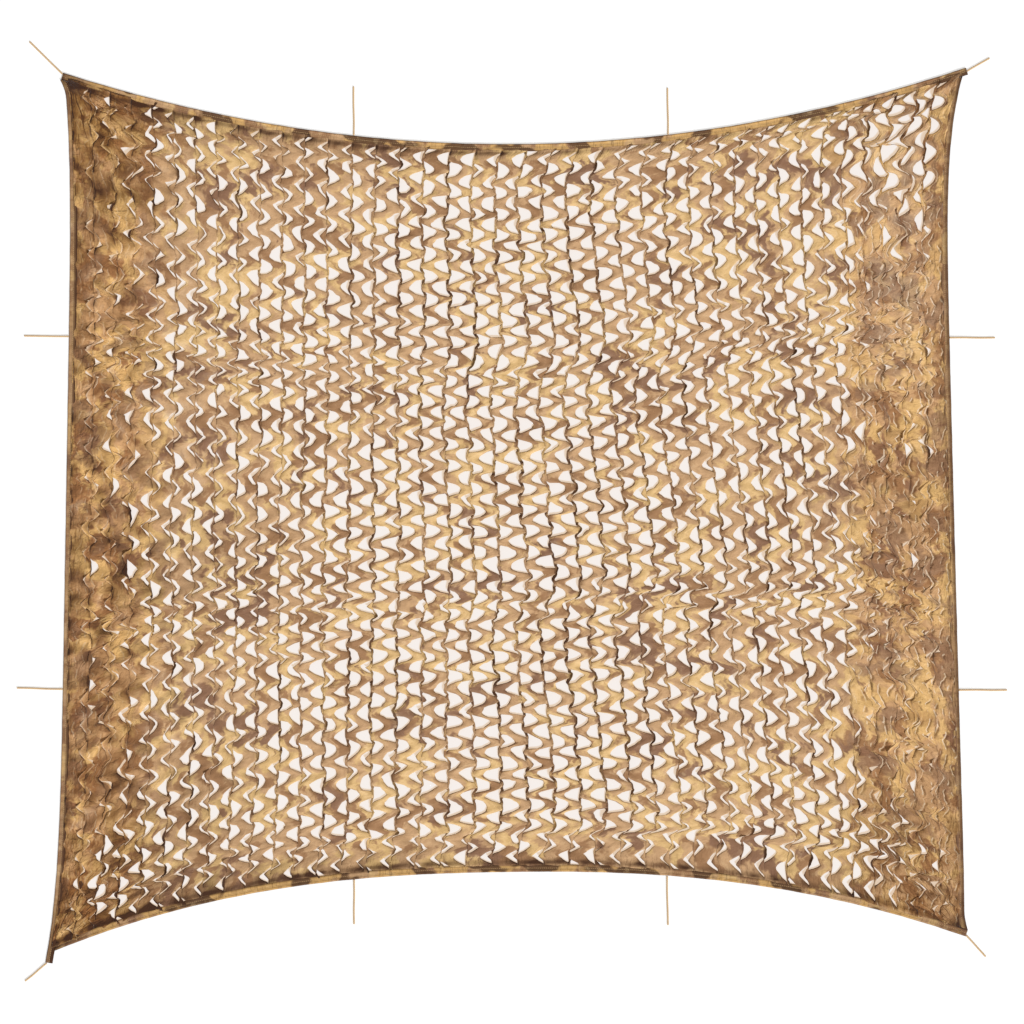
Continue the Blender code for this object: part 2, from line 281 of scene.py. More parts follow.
class Outline:
    """Edge points of the net, read off once and then looked up between two neighbours."""

    STEPS = 400

    def __init__(self):
        corners = net_corners()
        self.corners = [Vector(corners[name]) for name in
                        ("bottom_left", "bottom_right", "top_left", "top_right")]
        run = [k / self.STEPS for k in range(self.STEPS + 1)]
        self.bottom, self.right = ([edge_point(side, corners, t) for t in run]
                                   for side in ("bottom", "right"))
        self.top, self.left = ([edge_point(side, corners, 1.0 - t) for t in run]
                               for side in ("top", "left"))

    def around(self, steps):
        """The whole edge, counter-clockwise, as x and y."""
        line = []
        for side in (self.bottom, self.right, self.top[::-1], self.left[::-1]):
            line += [tuple(side[k * self.STEPS // steps]) for k in range(steps)]
        return line

    def look_up(self, points, t):
        place = min(max(t, 0.0), 1.0) * self.STEPS
        k = min(int(place), self.STEPS - 1)
        return points[k].lerp(points[k + 1], place - k)

    def point(self, u, v):
        """Point of the pulled net, from parts of its width and height."""
        bottom, top = self.look_up(self.bottom, u), self.look_up(self.top, u)
        left, right = self.look_up(self.left, v), self.look_up(self.right, v)
        low = self.corners[0].lerp(self.corners[1], u)
        high = self.corners[2].lerp(self.corners[3], u)
        return bottom.lerp(top, v) + left.lerp(right, u) - low.lerp(high, v)


# -------- how the net is pulled

# u runs from 0 at the net's left edge to 1 at its right one, v from its bottom to its top
NET_SPAN = (2.95, 2.45)  # rough width and height of the pulled net

TANGLES = (0.695, 0.366, 0.037)  # where rows are rucked up, along v
TANGLE_STRENGTHS = (0.5, 1.0, 0.8)
TANGLE_STEP = 0.329

# u, how far the gaps are pulled open there: 0 closed, 1 as wide as they go
PULLED_OPEN = ((0.0, 0.03), (0.045, 0.13), (0.08, 0.30), (0.12, 0.40), (0.18, 0.48), (0.25, 0.60),
               (0.36, 0.72), (0.45, 0.86), (0.53, 0.94), (0.60, 0.84), (0.66, 0.62), (0.73, 0.50),
               (0.80, 0.56), (0.85, 0.54), (0.88, 0.36), (0.91, 0.12), (0.94, 0.04), (1.0, 0.03))

# Places that differ from the rest of the net: amount, u and its reach, v and its reach
LOOSE_CORNER = (1.0, 0.95, 0.065, 0.94, 0.10)
OPENED = ((0.35, 0.90, 0.06, 0.05, 0.05), (0.50, 0.07, 0.05, 0.05, 0.05))
SHADED = ((0.28, 0.14, 0.11, 0.43, 0.09), (0.28, 0.14, 0.11, 0.11, 0.11),
          (0.24, 0.05, 0.06, 0.90, 0.06), (-0.20, 0.02, 0.04, 0.08, 0.07),
          (-0.20, 0.02, 0.04, 1.00, 0.05), (0.20, 0.95, 0.06, 0.50, 0.06),
          (0.35, 0.92, 0.07, 0.09, 0.07))


def spread(count, weight):
    """Running places from 0 to 1 of count steps, each as large as its weight at that place."""
    places = [0.0]
    for step in range(count):
        places.append(places[-1] + weight((step + 0.5) / count))
    return [place / places[-1] for place in places]


def column_weight(part):
    return 1.0 + 0.25 * bell(part, 0.50, 0.27)


def row_weight(part):
    return 1.0 - sum(0.12 * bell(part, tangle, 0.022) for tangle in TANGLES)


COLUMN_PLACES = spread(COLUMNS, column_weight)
ROW_PLACES = spread(ROWS, row_weight)


def between(places, k):
    low = min(max(int(math.floor(k)), 0), len(places) - 2)
    return mix(places[low], places[low + 1], k - low)


def read_off(table, x):
    """Value at x on straight lines between the table's pairs."""
    for (low, a), (high, b) in zip(table, table[1:]):
        if x <= high:
            return mix(a, b, max(x - low, 0.0) / (high - low))
    return table[-1][1]


def at_place(place, u, v):
    """What one of these places adds at u and v."""
    amount, u_middle, u_reach, v_middle, v_reach = place
    return amount * bell(u, u_middle, u_reach) * bell(v, v_middle, v_reach)


def by_side(u, left, right):
    """One value in the left half of the net, the other in the right half."""
    return left if u < 0.5 else right


def from_edges(u, v):
    """Distances to the nearer of the net's left and right edges and of its other two."""
    return min(u, 1.0 - u) * NET_SPAN[0], min(v, 1.0 - v) * NET_SPAN[1]


def rucked(u, v):
    """1 on a rucked row in the middle of the net, 0 away from it."""
    middle = smooth(u, 0.12, 0.30) * (1.0 - smooth(u, 0.72, 0.86))
    wander = 0.012 * noise.noise((u * 9.0, 3.3, 7.7))
    return middle * max(strength * bell(v, tangle + wander, 0.016)
                        for tangle, strength in zip(TANGLES, TANGLE_STRENGTHS))


def side_band(u):
    """1 in the slack bands along the left and right bindings, 0 in the pulled middle."""
    return max(1.0 - smooth(u, 0.045, 0.11), smooth(u, 0.86, 0.92))


def corner_pull(u, v):
    """1 in a corner of the net, 0 away from it."""
    return bell(math.hypot(*from_edges(u, v)), 0.0, 0.32)


def corner_folds(u, v):
    """Folds that run out from the net's corners, from about -1 to 1."""
    across, along = from_edges(u, v)
    seed = 7.1 + 3.0 * (u > 0.5) + 5.0 * (v > 0.5)
    fold = noise.noise((math.atan2(along, across) * 8.0, math.hypot(across, along) * 6.0, seed))
    return 1.6 * corner_pull(u, v) * fold


def loose_corner(u, v):
    """1 in the top right corner, where the gaps hang open and askew."""
    return at_place(LOOSE_CORNER, u, v)


def openness(u, v):
    """How far the gaps are pulled open at u and v, from 0 to 1."""
    level = read_off(PULLED_OPEN, u)
    level *= 0.35 + 0.65 * smooth(v, 0.0, 0.09)
    level *= 0.45 + 0.55 * smooth(1.0 - v, 0.0, 0.12)
    level *= 1.0 - 0.6 * rucked(u, v)
    level += 0.95 * loose_corner(u, v)
    for place in OPENED:
        level += at_place(place, u, v)
    return min(max(level, 0.0), 1.0)


def lean(u, v):
    """Sideways drift of the strands between two rucked rows, as a part of the net's width."""
    part = ((v - TANGLES[-1]) / TANGLE_STEP) % 1.0
    back = 0.10
    if part < back:
        drift = smooth(part, -back, back)
    elif part > 1.0 - back:
        drift = smooth(part, 1.0 - back, 1.0 + back)
    else:
        drift = 1.0 - (part - back) / (1.0 - 2.0 * back)
    reach = 0.010 * smooth(u, 0.30, 0.62) * (1.0 - smooth(u, 0.85, 0.96))
    return reach * (2.0 * drift - 1.0)


def fan(u, v):
    """Rows spread apart towards the sides and close up again at the next rucked row."""
    turn = 2.0 * math.pi * ((v - TANGLES[-1]) / TANGLE_STEP - 0.5)
    return 0.0085 * (1.0 - bell(u, 0.52, 0.20)) * math.sin(turn - 0.3 * math.sin(turn))


class Pull:
    """Where a point of the cloth, given by its column and row, ends up on the ground."""

    def __init__(self):
        self.outline = Outline()

    def place(self, column, row):
        u, v = between(COLUMN_PLACES, column), between(ROW_PLACES, row)
        free = smooth(min(u, 1.0 - u), 0.0, 0.05) * smooth(min(v, 1.0 - v), 0.0, 0.05)
        sway = 0.05 * math.cos(2.0 * math.pi * row) * math.cos(math.pi * column) ** 2
        wide = noise.noise_vector((u * 7.0, v * 7.0, 3.1))
        close = noise.noise_vector((column * 0.83 + 0.37, row * 1.63, 8.7))
        fine = noise.noise_vector((column * 2.7 + 0.37, row * 6.3, 4.4))
        slack = 0.15 * (1.0 + 1.2 * rucked(u, v) + 0.9 * corner_pull(u, v) + 0.8 * side_band(u)
                        + 1.2 * loose_corner(u, v))
        rise = 0.014 * smooth(u, 0.55, 0.82) * (1.0 - smooth(u, 0.86, 0.99))
        u += free * (lean(u, v) + 0.0035 * wide.x
                     + (sway + slack * close.x + 0.06 * fine.x) / COLUMNS)
        v += free * (rise + fan(u, v) + 0.0045 * wide.y
                     + (0.8 * slack * close.y + 0.06 * fine.y) / ROWS)
        return self.outline.point(u, v), u, v


# -------- cut cloth

# Where points lie: up one row, across a ribbon, across a slack one, and out along a leaf
LEVELS = (0.0, 0.08, 0.16, 0.25, 0.34, 0.42, 0.5, 0.58, 0.66, 0.75, 0.84, 0.92)
ACROSS = (0.0, 0.12, 0.5, 0.88, 1.0)
SLACK_ACROSS = (0.0, 0.12, 0.3, 0.5, 0.7, 0.88, 1.0)
LEAF_STEPS = 3

# deep: reach of the gap from its strand, in columns; half: half its height, in rows; skew: shift
# of its middle; fat: 0 for a plain V, 1 for a full round gap; short: how much shorter than its
# cut the leaf lies; roll: radius that it is bent to; under: 1 where it is folded under its strand;
# dark: how dark that fold looks, in painted shade; blob: dark knot of cloth where ribbons touch
Gap = namedtuple("Gap", "deep half skew fat short roll under dark blob")
FLAT_GAP = Gap(CUT_DEPTH, 0.34, 0.0, 0.1, 0.0, 1.0, 0, 0.0, 0.0)


def gap_reach(gap, middle, row):
    """How far a gap reaches from its strand at one row, as a part of its greatest reach."""
    s = abs(row - middle - gap.skew * (1.0 - abs(row - middle) / gap.half)) / gap.half
    if s >= 1.0:
        return 0.0
    return mix(1.0 - s, (1.0 - s * s) ** 0.7, gap.fat)


def choose_gap(chance, level, dark, slack):
    """Measures of one gap, at random about what its place in the net asks for."""
    rolled = 0.05 + 0.68 * smooth(level, 0.10, 0.85)
    nub = 0.03 + 0.17 * smooth(level, 0.10, 0.50)
    pick = chance.random()
    wide = smooth(level, 0.0, 0.32)
    deep = mix(CUT_DEPTH, 0.51, smooth(level, 0.0, 0.45)) + 0.12 * smooth(level, 0.5, 0.95)
    fat = mix(0.15, 0.95, level)
    if pick < rolled:
        short, roll = 0.001, chance.uniform(0.0006, 0.0014)
        fat += 0.15
    elif pick < rolled + nub:
        short, roll = 0.008, chance.uniform(0.0028, 0.0060)
    else:
        fat -= 0.25
        short = mix(chance.uniform(0.001, 0.005), chance.uniform(0.007, 0.015), wide)
        roll = mix(chance.uniform(0.010, 0.06), chance.uniform(0.016, 0.03), wide)
    deep += chance.uniform(-0.06, 0.03) * (0.2 + 0.8 * level)
    half = mix(0.335, 0.360, wide) - 0.01 * smooth(level, 0.55, 0.95)
    half += chance.uniform(-0.04, 0.02)
    skew = chance.uniform(-0.09, 0.09)
    if chance.random() < slack:
        deep *= chance.uniform(0.8, 1.0)
        half *= chance.uniform(0.65, 1.0)
        skew *= 2.0
        if pick > rolled and chance.random() < 0.2:
            deep, short = 0.0, NO_LEAF
    return Gap(
        deep=deep, half=half, skew=skew, fat=min(max(fat + chance.uniform(-0.15, 0.2), 0.0), 1.0),
        short=short, roll=roll, under=int(pick < rolled),
        dark=min(1.0, max(0.05, dark + chance.uniform(-0.25, 0.25))),
        blob=1.0 if chance.random() < 0.6 * dark else chance.uniform(0.2, 0.7))


class Cut:
    """The cuts of the cloth, with each gap's own measures."""

    def __init__(self):
        self.gaps = {}
        chance = random.Random(11)
        for strand in range(COLUMNS + 1):
            for row in range(ROWS + 1):
                for side in (-1, 1):
                    middle = row if side > 0 else row + 0.5
                    u = between(COLUMN_PLACES, strand)
                    v = between(ROW_PLACES, min(middle, ROWS))
                    wide = noise.noise((u * 9.0, v * 9.0, 5.5))
                    level = openness(u, v)
                    level += (chance.uniform(-0.12, 0.12) + 0.2 * wide) * smooth(level, 0.0, 0.25)
                    drawn = noise.noise((strand * 1.71 + 0.5, row * 0.13, 2.6))
                    gap = choose_gap(chance, min(max(level, 0.0), 1.0),
                                     0.25 + 0.75 * smooth(drawn, -0.15, 0.2),
                                     side_band(u) * (1.0 - smooth(level, 0.2, 0.45)))
                    at_edge = min(middle, ROWS - middle) < 0.3 and chance.random() < 0.6
                    if strand in (0, COLUMNS) or at_edge:
                        gap = gap._replace(deep=0.0, short=NO_LEAF)
                    self.gaps[strand, row, side] = gap

    def right_of(self, strand, row):
        """Gap on the right of a strand that covers this row, and its middle."""
        middle = min(max(math.floor(row + 0.5), 0), ROWS)
        return self.gaps[strand, middle, 1], middle

    def left_of(self, strand, row):
        """Gap on the left of a strand that covers this row, and its middle."""
        at = min(max(math.floor(row), 0), ROWS - 1)
        return self.gaps[strand, at, -1], at + 0.5


def ground_height(u, v):
    """Height of the cloth's soft folds above the floor."""
    fold = noise.noise((u * 52.0, v * 7.0, 1.3)) + 0.6 * noise.noise((u * 80.0, v * 26.0, 4.2))
    wave = noise.noise((u * 12.0, v * 12.0, 9.4))
    ruck = by_side(u, 0.0056, 0.0042)
    return (0.0032 + 0.0014 * wave + side_band(u) * ruck * (0.5 + fold)
            + 0.0035 * max(0.0, 0.3 + corner_folds(u, v)))


def edge_shade(u, v):
    """Shadow along the bindings and in the corners, and the darker places of the net."""
    across, along = from_edges(u, v)
    ragged = max(0.0, noise.noise((u * 95.0, v * 8.0, 4.6)))
    line = (0.5 + 1.2 * ragged) * (1.0 - 0.4 * smooth(u, 0.4, 0.7) * smooth(v, 0.4, 0.6))
    shade = 0.25 * bell(across, 0.009, 0.012) + line * bell(along, 0.014, 0.009)
    if v < 0.5:
        by_hem = mix(0.62, 0.20, smooth(u, 0.35, 0.45)) + 0.3 * bell(u, 0.87, 0.06)
        by_hem -= 0.45 * (1.0 - smooth(u, 0.03, 0.10))
    else:
        by_hem = mix(0.42, 0.0, smooth(u, 0.25, 0.6))
    streak = 0.7 + noise.noise((u * 60.0, v * 30.0, 6.1))
    shade += by_hem * streak * bell(along, 0.0, 0.09)
    in_corner = (0.20 if v > 0.5 else 0.0) * corner_pull(u, v)
    shade += by_side(u, 1.0, 0.4) * (in_corner + 0.3 * max(0.0, -corner_folds(u, v)))
    blotch = max(0.0, noise.noise((u * 110.0, v * 75.0, 2.7)) + 0.1)
    shade += by_side(u, 0.28, 0.15) * side_band(u) * blotch
    shade += (0.16 + 0.14 * (1.0 - smooth(v, 0.40, 0.56))) * (1.0 - smooth(u, 0.06, 0.13))
    mottle = 0.6 * noise.noise((u * 44.0, v * 44.0, 6.1))
    mottle += 0.4 * noise.noise((u * 110.0, v * 110.0, 2.7))
    shade += (1.0 - smooth(u, 0.10, 0.18)) * mottle
    for place in SHADED:
        shade += at_place(place, u, v)
    shade -= 0.2 * bell(u, 0.95, 0.06) * smooth(v, 0.62, 0.7)
    return shade - 0.16 * loose_corner(u, v)


def gathers(u, v):
    """1 where the cloth is drawn into small folds, along the bindings and in the corners."""
    edge = bell(min(from_edges(u, v)), 0.0, 0.045)
    return min(1.0, edge + 0.8 * corner_pull(u, v) + 0.22 * side_band(u))


def row_levels():
    return [row + level for row in range(ROWS) for level in LEVELS] + [float(ROWS)]


class Weave:
    """Collects the points and faces of one piece of cloth."""

    MARKS = ("shade", "tone", "gather", "corner", "slack")

    def __init__(self, pull):
        self.pull = pull
        self.points, self.faces, self.prints, self.marks = [], [], [], []

    def add(self, column, row, height, flat, shade, shift=0.0):
        """A point, height above the soft folds; flat is its column and row in the flat cloth."""
        spot, u, v = self.pull.place(column, row)
        high = max(ground_height(u, v) + height, CLOTH_BOTTOM)
        self.points.append((spot.x + shift, spot.y, high))
        self.prints.append((flat[0] * FLAT_COLUMN, flat[1] * FLAT_ROW))
        self.marks.append((
            shade + edge_shade(u, v),
            1.0 - smooth(u, 0.05, 0.13) + 0.6 * smooth(u, 0.86, 0.92),
            gathers(u, v),
            corner_pull(u, v) * by_side(u, 1.0, 0.8 if v < 0.5 else 0.4),
            side_band(u) * by_side(u, 0.4, 1.0 - 0.8 * loose_corner(u, v))))
        return len(self.points) - 1

    def join(self, before, after):
        """Faces between two lines of points; points that fall together close to a triangle."""
        for corners in zip(before, before[1:], after[1:], after):
            face = tuple(dict.fromkeys(corners))
            if len(face) > 2:
                self.faces.append(face)

    def finish(self, name, material):
        mesh = bpy.data.meshes.new(name)
        mesh.from_pydata(self.points, [], self.faces)
        uv = mesh.uv_layers.new(name="print")
        for loop in mesh.loops:
            uv.data[loop.index].uv = self.prints[loop.vertex_index]
        for mark, values in zip(self.MARKS, zip(*self.marks)):
            mesh.attributes.new(mark, "FLOAT", "POINT").data.foreach_set("value", values)
        mesh.polygons.foreach_set("use_smooth", [True] * len(mesh.polygons))
        obj = new_object(name, mesh, material)
        thicken = obj.modifiers.new("cloth thickness", "SOLIDIFY")
        thicken.thickness = CLOTH
        thicken.offset = 0.0
        only(obj)
        bpy.ops.object.modifier_apply(modifier=thicken.name)
        for point in obj.data.vertices:
            point.co.z = min(point.co.z, CLOTH_TOP)
        return obj


def add_ribbon(weave, cut, column):
    """One zigzag ribbon, between the strands on its left and right."""
    before = None
    u = between(COLUMN_PLACES, column + 0.5)
    slack = side_band(u)
    across = SLACK_ACROSS if slack > 0.5 else ACROSS
    for row in row_levels():
        left, left_middle = cut.right_of(column, row)
        right, right_middle = cut.left_of(column + 1, row)
        level = openness(u, between(ROW_PLACES, row))
        fray = 0.04 * noise.noise((column * 4.3, row * 9.1, 1.9))
        left_reach = gap_reach(left, left_middle, row)
        right_reach = gap_reach(right, right_middle, row)
        near = left.deep * left_reach + fray * min(1.0, 4.0 * left_reach)
        far = 1.0 - right.deep * right_reach + fray * min(1.0, 4.0 * right_reach)
        flat_near = flat_far = 0.0
        if left.deep:
            flat_near = CUT_DEPTH * gap_reach(FLAT_GAP, left_middle, row)
        if right.deep:
            flat_far = CUT_DEPTH * gap_reach(FLAT_GAP, right_middle, row)
        turn = math.sin(2.0 * math.pi * row + 0.8)
        twist = noise.noise((column * 3.7, row * 1.9, 2.2)) + 0.4 * turn
        arch = 0.8 + noise.noise((column * 5.1, row * 0.8, 7.7))
        ruffle = noise.noise((column * 2.9, row * 2.3, 5.8))
        ruffle *= by_side(u, 0.0065, 0.0042) * slack
        darkest = max(by_side(u, 0.7, 0.5) * slack, mix(by_side(u, 0.5, 0.4), 0.9, level))
        line = []
        for t in across:
            side = 2.0 * t - 1.0
            gap, middle = (left, left_middle) if side < 0 else (right, right_middle)
            low = min(max((middle - row) / gap.half, -1.0), 1.0)
            edge = mix(0.40 * abs(side), 1.25, smooth(abs(side), 0.72, 1.0))
            height = 0.0032 * level * arch * (1.0 - side * side) + ruffle
            height += mix(0.0006, 0.0030, level) * (0.7 + twist * side)
            height -= 0.0022 * edge * low * level
            # painted shade along the arms' upper edges and painted light along their lower ones
            dark = edge * (0.95 * smooth(low, -0.05, 0.35) - 0.45 * smooth(-low, 0.1, 0.5))
            line.append(weave.add(
                column + mix(near, far, t), row, height,
                (column + mix(flat_near, 1.0 - flat_far, t), row), dark * darkest))
        if before:
            weave.join(before, line)
        before = line


def leaf_bend(gap, length, part):
    """How far out and how far up a leaf goes, at a part of its length."""
    if gap.under:
        if part < 0.4:
            return gap.roll * math.sin(math.pi * part / 0.4), -0.0006
        return -length * (part - 0.34), -0.0012 - 0.0006 * part
    angle = min(length / gap.roll, 2.6) * part
    out = gap.roll * math.sin(angle)
    if angle > math.pi / 2.0:
        out = gap.roll * (1.5 - 0.5 * math.sin(angle))
    return out, gap.roll * (1.0 - math.cos(angle)) + 0.0006 * part


def add_strand(weave, cut, strand):
    """One upright strand, with the leaves that were cut free on both of its sides."""
    before = None
    u = between(COLUMN_PLACES, strand)
    for row in row_levels():
        level = openness(u, between(ROW_PLACES, row))
        slack = side_band(u) * (1.0 - smooth(level, 0.2, 0.45))
        contact = 0.5 - 0.5 * math.cos(4.0 * math.pi * row)
        lift = mix(0.0006, 0.0032, level)
        line = []
        for side in (-1, 1):
            gap, middle = (cut.right_of if side > 0 else cut.left_of)(strand, row)
            length = CUT_DEPTH * FLAT_COLUMN * gap_reach(FLAT_GAP, middle, row)
            length = max(0.0, length - gap.short)
            reach = length / FLAT_COLUMN
            beside = min(1.0, 6.0 * gap_reach(gap, middle, row))
            curled = (1.0 - smooth(gap.roll, 0.004, 0.012)) * gap.dark
            blob = gap.blob * contact * level
            half_width = mix(0.0016, 0.0013 + 0.0048 * blob, level)
            # painted shade on the strand's edge beside a curled leaf; the knots where ribbons
            # touch are darker too
            edge_dark = max(beside * mix(0.4 * level, 1.2, curled), 1.8 * blob - 0.3)
            edge = weave.add(strand, row, lift + 0.0004, (strand + side * 0.02, row), edge_dark,
                             shift=side * half_width)
            leaf = [edge] * (LEAF_STEPS + 1)
            if length > LEAF_LEAST:
                for step in range(1, LEAF_STEPS + 1):
                    part = step / LEAF_STEPS
                    out, up = leaf_bend(gap, length, part)
                    # painted shade towards a leaf's tip and all over a curled leaf, and painted
                    # light on the lifted tips in the slack bands
                    bright = mix(0.75 * part ** 2, by_side(u, -1.1, -0.5) * part ** 3, slack)
                    leaf[step] = weave.add(
                        strand, row, lift + up, (strand + side * reach * part, row),
                        mix(bright, 1.0 - 0.2 * part, curled),
                        shift=side * (half_width + out))
            line += leaf[::-1] if side < 0 else leaf
        if before:
            weave.join(before, line)
        before = line


def make_net(name, first, last, pull, cut, material):
    """The cloth from one strand to another, with the strand on its left."""
    weave = Weave(pull)
    for column in range(first, last):
        add_ribbon(weave, cut, column)
        add_strand(weave, cut, column)
    if last == COLUMNS:
        add_strand(weave, cut, last)
    return weave.finish(name, material)


# -------- materials

class Graph:
    """Short words for adding nodes to a material."""

    def __init__(self, tree):
        self.tree = tree

    def node(self, kind, **settings):
        node = self.tree.nodes.new(kind)
        for key, value in settings.items():
            setattr(node, key, value)
        return node

    def link(self, source, target):
        self.tree.links.new(source, target)

    def feed(self, socket, value):
        if isinstance(value, bpy.types.NodeSocket):
            self.link(value, socket)
        else:
            socket.default_value = value

    def math(self, operation, a, b=0.0, c=0.0, clamp=False):
        node = self.node("ShaderNodeMath", operation=operation, use_clamp=clamp)
        for socket, value in zip(node.inputs, (a, b, c)):
            self.feed(socket, value)
        return node.outputs[0]

    def times(self, a, b):
        return self.math("MULTIPLY", a, b)

    def noise(self, vector, scale, detail=2.0, rough=0.5, distortion=0.0, seed=0.0):
        node = self.node("ShaderNodeTexNoise", noise_dimensions="4D")
        self.feed(node.inputs["Vector"], vector)
        set_inputs(node, {"W": seed, "Scale": scale, "Detail": detail, "Roughness": rough,
                          "Distortion": distortion})
        return node.outputs["Fac"]

    def step(self, value, low, high):
        node = self.node("ShaderNodeMapRange", interpolation_type="SMOOTHSTEP")
        self.feed(node.inputs["Value"], value)
        set_inputs(node, {"From Min": low, "From Max": high})
        return node.outputs["Result"]

    def mark(self, name):
        """A value that the piece's points carry, or 0."""
        return self.node("ShaderNodeAttribute", attribute_name=name).outputs["Fac"]

    def blend(self, factor, a, b, mode="MIX"):
        node = self.node("ShaderNodeMix", data_type="RGBA", blend_type=mode)
        self.feed(node.inputs["Factor"], factor)
        self.feed(node.inputs["A"], a)
        self.feed(node.inputs["B"], b)
        return node.outputs["Result"]

    def over(self, base, where, amount, b, mode="MIX", clamp=False):
        """The base with b over it, by where times amount."""
        return self.blend(self.math("MULTIPLY", where, amount, clamp=clamp), base, b, mode)

    def bump(self, height, strength, distance):
        node = self.node("ShaderNodeBump")
        set_inputs(node, {"Strength": strength, "Distance": distance})
        self.link(height, node.inputs["Height"])
        return node


def colour(red, green, blue):
    """Linear colour from values of 0 to 255."""
    def linear(value):
        value /= 255.0
        return value / 12.92 if value <= 0.04045 else ((value + 0.055) / 1.055) ** 2.4
    return (linear(red), linear(green), linear(blue), 1.0)


# Tints of the bands at both sides, of the darkest places and of the lightest ones
SIDE_TINT = (1.03, 0.925, 0.79, 1.0)
WARM_DARK = (1.0, 0.81, 0.48, 1.0)
PALE_LIGHT = (1.0, 1.05, 1.30, 1.0)
# The print, patches on tan. Patch: colour, scale, seed, and from which value of its noise it
# begins to show and shows in full
TAN = colour(205, 164, 121)
PATCHES = (
    (colour(231, 191, 129), 9.5, 1.0, 0.48, 0.55),
    (colour(167, 126, 90), 9.0, 4.0, 0.52, 0.57),
    (colour(145, 109, 86), 7.5, 9.0, 0.565, 0.61),
)


def camouflage(g, where):
    """The cloth's print: sand, brown and mauve patches on tan."""
    warp = g.node("ShaderNodeTexNoise", noise_dimensions="3D")
    g.link(where, warp.inputs["Vector"])
    set_inputs(warp, {"Scale": 10.0, "Detail": 3.0})
    push = g.node("ShaderNodeVectorMath", operation="MULTIPLY_ADD")
    g.link(warp.outputs["Color"], push.inputs[0])
    push.inputs[1].default_value = (0.07, 0.07, 0.0)
    g.link(where, push.inputs[2])
    base = TAN
    for tone, scale, seed, low, high in PATCHES:
        patch = g.step(g.noise(push.outputs[0], scale, 4.0, 0.58, seed=seed), low, high)
        base = g.blend(patch, base, tone)
    return base


def stretched(g, vector, amounts):
    node = g.node("ShaderNodeVectorMath", operation="MULTIPLY")
    g.link(vector, node.inputs[0])
    node.inputs[1].default_value = amounts
    return node.outputs[0]


